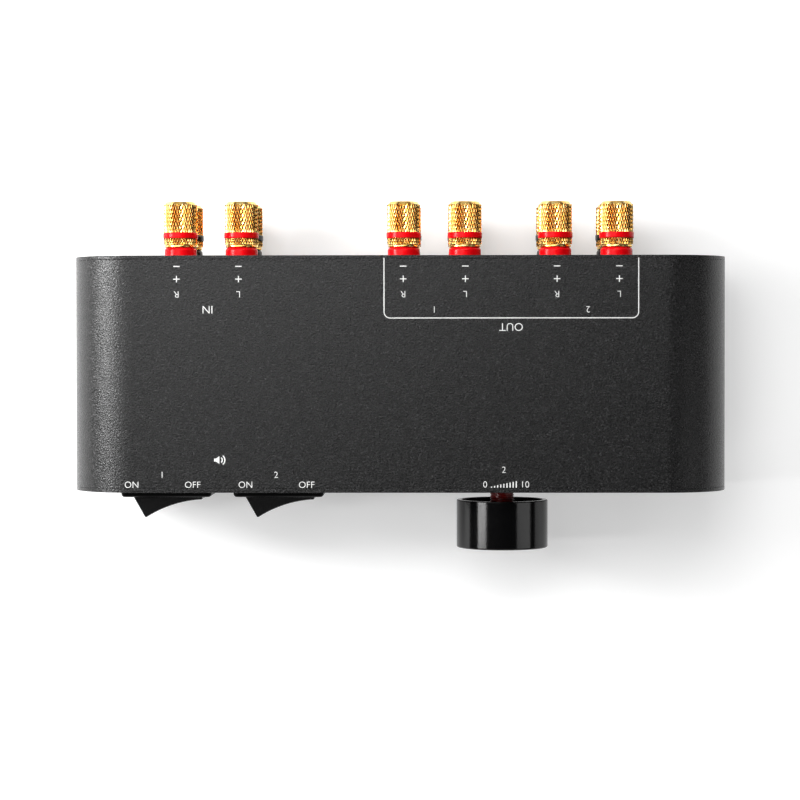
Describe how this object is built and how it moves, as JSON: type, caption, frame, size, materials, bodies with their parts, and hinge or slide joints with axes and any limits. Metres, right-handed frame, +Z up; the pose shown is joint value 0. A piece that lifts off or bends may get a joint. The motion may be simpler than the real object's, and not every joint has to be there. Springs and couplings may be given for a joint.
{
  "type": "speaker selector switch",
  "caption": "Desktop speaker selector: rocker switches and a volume knob on the front, screw-down banana binding posts on the rear.",
  "frame": {"origin": "centre of the enclosure's footprint, on the plane that its rubber feet stand on", "axes": "+X to the right seen from the front, +Y from the front panel to the binding posts, +Z up"},
  "size_m": [0.204, 0.1084, 0.047],
  "materials": {
    "case_paint": "fine sand-textured matte black enamel",
    "black_screw": "black oxide, satin",
    "foot_rubber": "matte moulded rubber",
    "gold_plate": "bright gold plating",
    "red_plastic": "smooth, slightly translucent look",
    "black_plastic": "smooth",
    "switch_plastic": "satin moulded",
    "knob_black": "gloss black anodised",
    "bushing_red": "dark red",
    "steel": "plain",
    "tinned_brass": "tinned",
    "nylon": "natural nylon",
    "board": "glass-fibre board, green",
    "wafer": "phenolic",
    "red_wire": "PVC insulation",
    "black_wire": "PVC insulation"
  },
  "bodies": {
    "case": {"enclosure_shell": "case_paint", "front_panel": "case_paint", "rear_panel": "case_paint", "front_panel_screws": "black_screw", "rear_panel_screws": "black_screw", "rubber_feet": "foot_rubber", "post_studs": "gold_plate", "red_post_collars": "red_plastic", "black_post_collars": "black_plastic", "post_insulators": "nylon", "post_nuts": "steel", "terminal_board": "board", "volume_bushing": "bushing_red", "bushing_nut": "steel", "control_can": "steel", "control_wafers": "wafer", "control_lugs": "tinned_brass", "red_wires": "red_wire", "black_wires": "black_wire", "pair_1_switch_housing": "switch_plastic", "pair_1_switch_terminals": "tinned_brass", "pair_2_switch_housing": "switch_plastic", "pair_2_switch_terminals": "tinned_brass"},
    "volume_control": {"volume_knob": "knob_black", "knob_set_screw": "black_screw", "volume_shaft": "steel", "control_wipers": "tinned_brass"},
    "pair_1_rocker": {"pair_1_rocker": "switch_plastic", "pair_1_plungers": "nylon", "pair_1_plunger_springs": "steel"},
    "pair_2_rocker": {"pair_2_rocker": "switch_plastic", "pair_2_plungers": "nylon", "pair_2_plunger_springs": "steel"},
    "pair_1_blades": {"pair_1_contact_blades": "tinned_brass"},
    "pair_2_blades": {"pair_2_contact_blades": "tinned_brass"},
    "amp_right_plus_band": {"amp_right_plus_band": "red_plastic"},
    "amp_right_plus_cap": {"amp_right_plus_cap": "gold_plate"},
    "amp_right_minus_band": {"amp_right_minus_band": "black_plastic"},
    "amp_right_minus_cap": {"amp_right_minus_cap": "gold_plate"},
    "amp_left_plus_band": {"amp_left_plus_band": "red_plastic"},
    "amp_left_plus_cap": {"amp_left_plus_cap": "gold_plate"},
    "amp_left_minus_band": {"amp_left_minus_band": "black_plastic"},
    "amp_left_minus_cap": {"amp_left_minus_cap": "gold_plate"},
    "pair_1_right_plus_band": {"pair_1_right_plus_band": "red_plastic"},
    "pair_1_right_plus_cap": {"pair_1_right_plus_cap": "gold_plate"},
    "pair_1_right_minus_band": {"pair_1_right_minus_band": "black_plastic"},
    "pair_1_right_minus_cap": {"pair_1_right_minus_cap": "gold_plate"},
    "pair_1_left_plus_band": {"pair_1_left_plus_band": "red_plastic"},
    "pair_1_left_plus_cap": {"pair_1_left_plus_cap": "gold_plate"},
    "pair_1_left_minus_band": {"pair_1_left_minus_band": "black_plastic"},
    "pair_1_left_minus_cap": {"pair_1_left_minus_cap": "gold_plate"},
    "pair_2_right_plus_band": {"pair_2_right_plus_band": "red_plastic"},
    "pair_2_right_plus_cap": {"pair_2_right_plus_cap": "gold_plate"},
    "pair_2_right_minus_band": {"pair_2_right_minus_band": "black_plastic"},
    "pair_2_right_minus_cap": {"pair_2_right_minus_cap": "gold_plate"},
    "pair_2_left_plus_band": {"pair_2_left_plus_band": "red_plastic"},
    "pair_2_left_plus_cap": {"pair_2_left_plus_cap": "gold_plate"},
    "pair_2_left_minus_band": {"pair_2_left_minus_band": "black_plastic"},
    "pair_2_left_minus_cap": {"pair_2_left_minus_cap": "gold_plate"}
  },
  "joints": [
    {"name": "pair_1_rocker_tilt", "type": "hinge", "parent": "case", "child": "pair_1_rocker", "pos_m": [-0.0729, -0.0355, 0.025], "axis": [0, 0, -1], "range_deg": [0, 35.6]},
    {"name": "pair_1_blade_rock", "type": "hinge", "parent": "case", "child": "pair_1_blades", "pos_m": [-0.0729, -0.0245, 0.025], "axis": [0, 0, -1], "range_deg": [-12, 0]},
    {"name": "pair_2_rocker_tilt", "type": "hinge", "parent": "case", "child": "pair_2_rocker", "pos_m": [-0.0378, -0.0355, 0.025], "axis": [0, 0, -1], "range_deg": [0, 35.6]},
    {"name": "pair_2_blade_rock", "type": "hinge", "parent": "case", "child": "pair_2_blades", "pos_m": [-0.0378, -0.0245, 0.025], "axis": [0, 0, -1], "range_deg": [-12, 0]},
    {"name": "volume_turn", "type": "hinge", "parent": "case", "child": "volume_control", "pos_m": [0.0322, -0.0365, 0.025], "axis": [0, 1, 0], "range_deg": [0, 300]},
    {"name": "amp_right_plus_cap_travel", "type": "slide", "parent": "case", "child": "amp_right_plus_band", "axis": [0, 1, 0], "range_m": [0, 0.004]},
    {"name": "amp_right_plus_cap_turn", "type": "hinge", "parent": "amp_right_plus_band", "child": "amp_right_plus_cap", "pos_m": [-0.0683, 0.0402, 0.03453], "axis": [0, 1, 0], "range_deg": [0, 1440]},
    {"name": "amp_right_minus_cap_travel", "type": "slide", "parent": "case", "child": "amp_right_minus_band", "axis": [0, 1, 0], "range_m": [0, 0.004]},
    {"name": "amp_right_minus_cap_turn", "type": "hinge", "parent": "amp_right_minus_band", "child": "amp_right_minus_cap", "pos_m": [-0.0683, 0.0402, 0.01547], "axis": [0, 1, 0], "range_deg": [0, 1440]},
    {"name": "amp_left_plus_cap_travel", "type": "slide", "parent": "case", "child": "amp_left_plus_band", "axis": [0, 1, 0], "range_m": [0, 0.004]},
    {"name": "amp_left_plus_cap_turn", "type": "hinge", "parent": "amp_left_plus_band", "child": "amp_left_plus_cap", "pos_m": [-0.04925, 0.0402, 0.03453], "axis": [0, 1, 0], "range_deg": [0, 1440]},
    {"name": "amp_left_minus_cap_travel", "type": "slide", "parent": "case", "child": "amp_left_minus_band", "axis": [0, 1, 0], "range_m": [0, 0.004]},
    {"name": "amp_left_minus_cap_turn", "type": "hinge", "parent": "amp_left_minus_band", "child": "amp_left_minus_cap", "pos_m": [-0.04925, 0.0402, 0.01547], "axis": [0, 1, 0], "range_deg": [0, 1440]},
    {"name": "pair_1_right_plus_cap_travel", "type": "slide", "parent": "case", "child": "pair_1_right_plus_band", "axis": [0, 1, 0], "range_m": [0, 0.004]},
    {"name": "pair_1_right_plus_cap_turn", "type": "hinge", "parent": "pair_1_right_plus_band", "child": "pair_1_right_plus_cap", "pos_m": [0.00135, 0.0402, 0.03453], "axis": [0, 1, 0], "range_deg": [0, 1440]},
    {"name": "pair_1_right_minus_cap_travel", "type": "slide", "parent": "case", "child": "pair_1_right_minus_band", "axis": [0, 1, 0], "range_m": [0, 0.004]},
    {"name": "pair_1_right_minus_cap_turn", "type": "hinge", "parent": "pair_1_right_minus_band", "child": "pair_1_right_minus_cap", "pos_m": [0.00135, 0.0402, 0.01547], "axis": [0, 1, 0], "range_deg": [0, 1440]},
    {"name": "pair_1_left_plus_cap_travel", "type": "slide", "parent": "case", "child": "pair_1_left_plus_band", "axis": [0, 1, 0], "range_m": [0, 0.004]},
    {"name": "pair_1_left_plus_cap_turn", "type": "hinge", "parent": "pair_1_left_plus_band", "child": "pair_1_left_plus_cap", "pos_m": [0.0204, 0.0402, 0.03453], "axis": [0, 1, 0], "range_deg": [0, 1440]},
    {"name": "pair_1_left_minus_cap_travel", "type": "slide", "parent": "case", "child": "pair_1_left_minus_band", "axis": [0, 1, 0], "range_m": [0, 0.004]},
    {"name": "pair_1_left_minus_cap_turn", "type": "hinge", "parent": "pair_1_left_minus_band", "child": "pair_1_left_minus_cap", "pos_m": [0.0204, 0.0402, 0.01547], "axis": [0, 1, 0], "range_deg": [0, 1440]},
    {"name": "pair_2_right_plus_cap_travel", "type": "slide", "parent": "case", "child": "pair_2_right_plus_band", "axis": [0, 1, 0], "range_m": [0, 0.004]},
    {"name": "pair_2_right_plus_cap_turn", "type": "hinge", "parent": "pair_2_right_plus_band", "child": "pair_2_right_plus_cap", "pos_m": [0.0485, 0.0402, 0.03453], "axis": [0, 1, 0], "range_deg": [0, 1440]},
    {"name": "pair_2_right_minus_cap_travel", "type": "slide", "parent": "case", "child": "pair_2_right_minus_band", "axis": [0, 1, 0], "range_m": [0, 0.004]},
    {"name": "pair_2_right_minus_cap_turn", "type": "hinge", "parent": "pair_2_right_minus_band", "child": "pair_2_right_minus_cap", "pos_m": [0.0485, 0.0402, 0.01547], "axis": [0, 1, 0], "range_deg": [0, 1440]},
    {"name": "pair_2_left_plus_cap_travel", "type": "slide", "parent": "case", "child": "pair_2_left_plus_band", "axis": [0, 1, 0], "range_m": [0, 0.004]},
    {"name": "pair_2_left_plus_cap_turn", "type": "hinge", "parent": "pair_2_left_plus_band", "child": "pair_2_left_plus_cap", "pos_m": [0.06755, 0.0402, 0.03453], "axis": [0, 1, 0], "range_deg": [0, 1440]},
    {"name": "pair_2_left_minus_cap_travel", "type": "slide", "parent": "case", "child": "pair_2_left_minus_band", "axis": [0, 1, 0], "range_m": [0, 0.004]},
    {"name": "pair_2_left_minus_cap_turn", "type": "hinge", "parent": "pair_2_left_minus_band", "child": "pair_2_left_minus_cap", "pos_m": [0.06755, 0.0402, 0.01547], "axis": [0, 1, 0], "range_deg": [0, 1440]}
  ],
  "couplings": [
    {"joint": "pair_1_blade_rock", "follows": "pair_1_rocker_tilt", "ratio": -0.33708},
    {"joint": "pair_2_blade_rock", "follows": "pair_2_rocker_tilt", "ratio": -0.33708},
    {"joint": "amp_right_plus_cap_travel", "follows": "amp_right_plus_cap_turn", "m_per_rad": 0.00015915},
    {"joint": "amp_right_minus_cap_travel", "follows": "amp_right_minus_cap_turn", "m_per_rad": 0.00015915},
    {"joint": "amp_left_plus_cap_travel", "follows": "amp_left_plus_cap_turn", "m_per_rad": 0.00015915},
    {"joint": "amp_left_minus_cap_travel", "follows": "amp_left_minus_cap_turn", "m_per_rad": 0.00015915},
    {"joint": "pair_1_right_plus_cap_travel", "follows": "pair_1_right_plus_cap_turn", "m_per_rad": 0.00015915},
    {"joint": "pair_1_right_minus_cap_travel", "follows": "pair_1_right_minus_cap_turn", "m_per_rad": 0.00015915},
    {"joint": "pair_1_left_plus_cap_travel", "follows": "pair_1_left_plus_cap_turn", "m_per_rad": 0.00015915},
    {"joint": "pair_1_left_minus_cap_travel", "follows": "pair_1_left_minus_cap_turn", "m_per_rad": 0.00015915},
    {"joint": "pair_2_right_plus_cap_travel", "follows": "pair_2_right_plus_cap_turn", "m_per_rad": 0.00015915},
    {"joint": "pair_2_right_minus_cap_travel", "follows": "pair_2_right_minus_cap_turn", "m_per_rad": 0.00015915},
    {"joint": "pair_2_left_plus_cap_travel", "follows": "pair_2_left_plus_cap_turn", "m_per_rad": 0.00015915},
    {"joint": "pair_2_left_minus_cap_travel", "follows": "pair_2_left_minus_cap_turn", "m_per_rad": 0.00015915}
  ]
}
